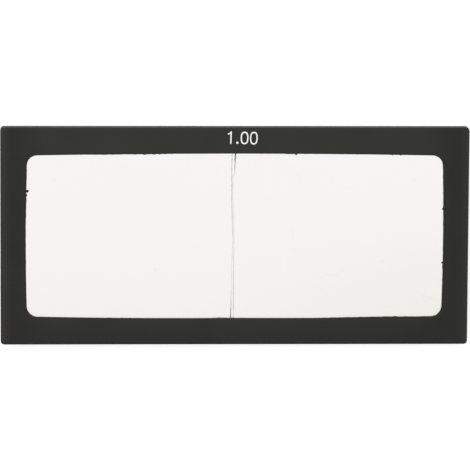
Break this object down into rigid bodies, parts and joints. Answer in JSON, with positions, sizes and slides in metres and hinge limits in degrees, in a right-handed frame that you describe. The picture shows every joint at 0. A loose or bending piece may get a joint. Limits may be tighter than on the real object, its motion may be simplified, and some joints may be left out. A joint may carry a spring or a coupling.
{
  "type": "welding magnifier lens",
  "caption": "Flat rectangular magnifying plate: plano-convex glass halves side by side in a moulded black plastic frame with rounded edges.",
  "frame": {"origin": "on the back face's plane, below the middle of the plate", "axes": "+X along the plate's long side, +Y to the bar that carries the number, +Z out of the front face"},
  "size_m": [0.108, 0.0506, 0.004],
  "materials": {
    "black_plastic": "moulded, matte, faintly grained",
    "lens_glass": "polished on both faces, finely ground on the rims"
  },
  "bodies": {
    "root": {"frame": "black_plastic", "left_lens": "lens_glass", "right_lens": "lens_glass"}
  },
  "joints": []
}
